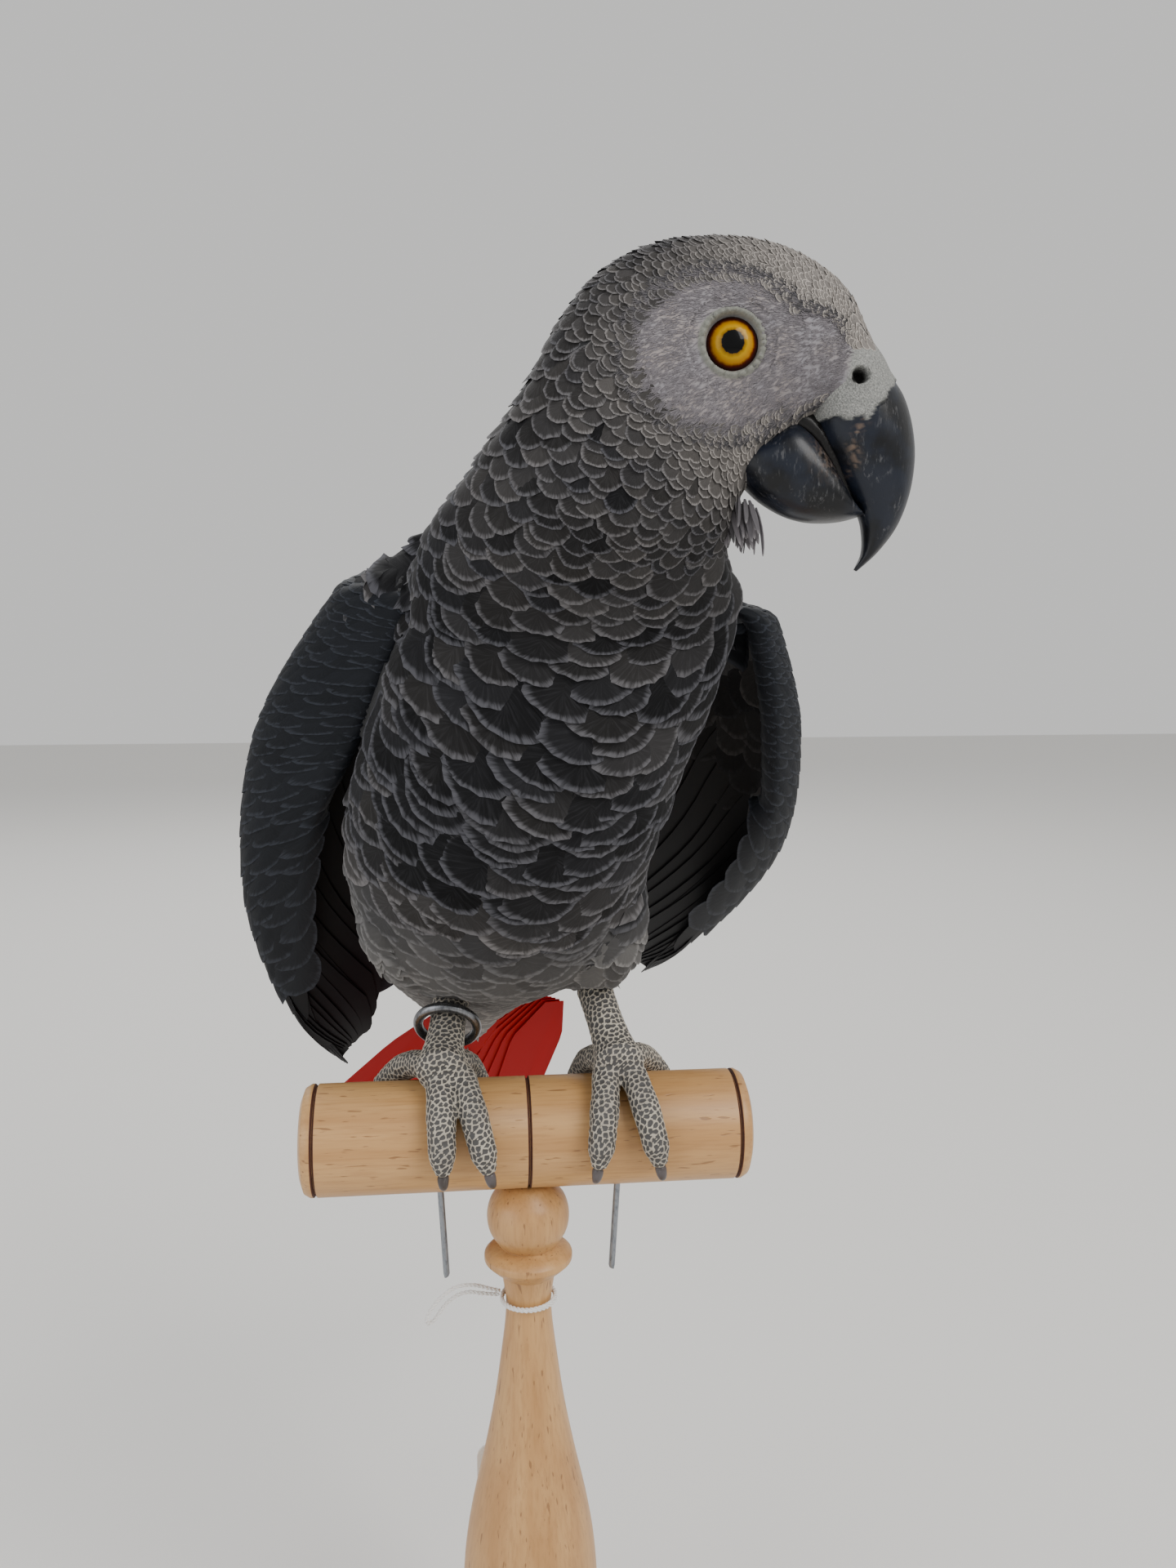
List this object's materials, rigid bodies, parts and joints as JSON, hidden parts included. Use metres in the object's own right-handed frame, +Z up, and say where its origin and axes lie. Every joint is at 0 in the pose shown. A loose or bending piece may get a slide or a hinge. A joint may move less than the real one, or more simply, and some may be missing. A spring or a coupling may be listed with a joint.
{
  "type": "mounted grey parrot on a perch stand",
  "caption": "Mounted grey parrot standing on a turned wooden T-perch stand, looking over its left shoulder, with a leg ring and a blank string tag.",
  "frame": {"origin": "middle of the underside of the base disc, on the column's axis", "axes": "+Z up the column, X along the crossbar with +X on the bird's left, and the bird faces -Y with its tail towards +Y"},
  "size_m": [0.1502, 0.2289, 0.3837],
  "materials": {
    "bare": "pale granular skin",
    "beech": "satin, pale honey beech with short dark flecks",
    "card": "matt white card",
    "flight": "dark slate wing feathers",
    "glass": "amber glass eye",
    "horn": "semi-gloss slate-black horn",
    "plumage": "soft grey feathers with paler rims",
    "ring_steel": "polished",
    "scales": "scaled grey-beige skin",
    "tail": "deep red tail feathers",
    "twine": "twisted white twine",
    "wire": "dull galvanised"
  },
  "bodies": {
    "root": {"base": "beech", "bill_lower": "horn", "bill_upper": "horn", "cere": "bare", "claw_left_front_inner": "horn", "claw_left_front_outer": "horn", "claw_left_rear_inner": "horn", "claw_left_rear_outer": "horn", "claw_right_front_inner": "horn", "claw_right_front_outer": "horn", "claw_right_rear_inner": "horn", "claw_right_rear_outer": "horn", "column": "beech", "eye_left": "glass", "eye_right": "glass", "foot_left": "scales", "foot_right": "scales", "head": "plumage", "leg_ring": "ring_steel", "neck": "plumage", "perch": "beech", "string_bight": "twine", "string_tie": "twine", "tag": "card", "tag_thread": "twine", "tail": "tail", "thigh_left": "plumage", "thigh_right": "plumage", "trunk": "plumage", "wing_left_arm": "plumage", "wing_left_hand": "flight", "wing_right_arm": "plumage", "wing_right_hand": "flight", "wire_left": "wire", "wire_right": "wire"}
  },
  "joints": []
}
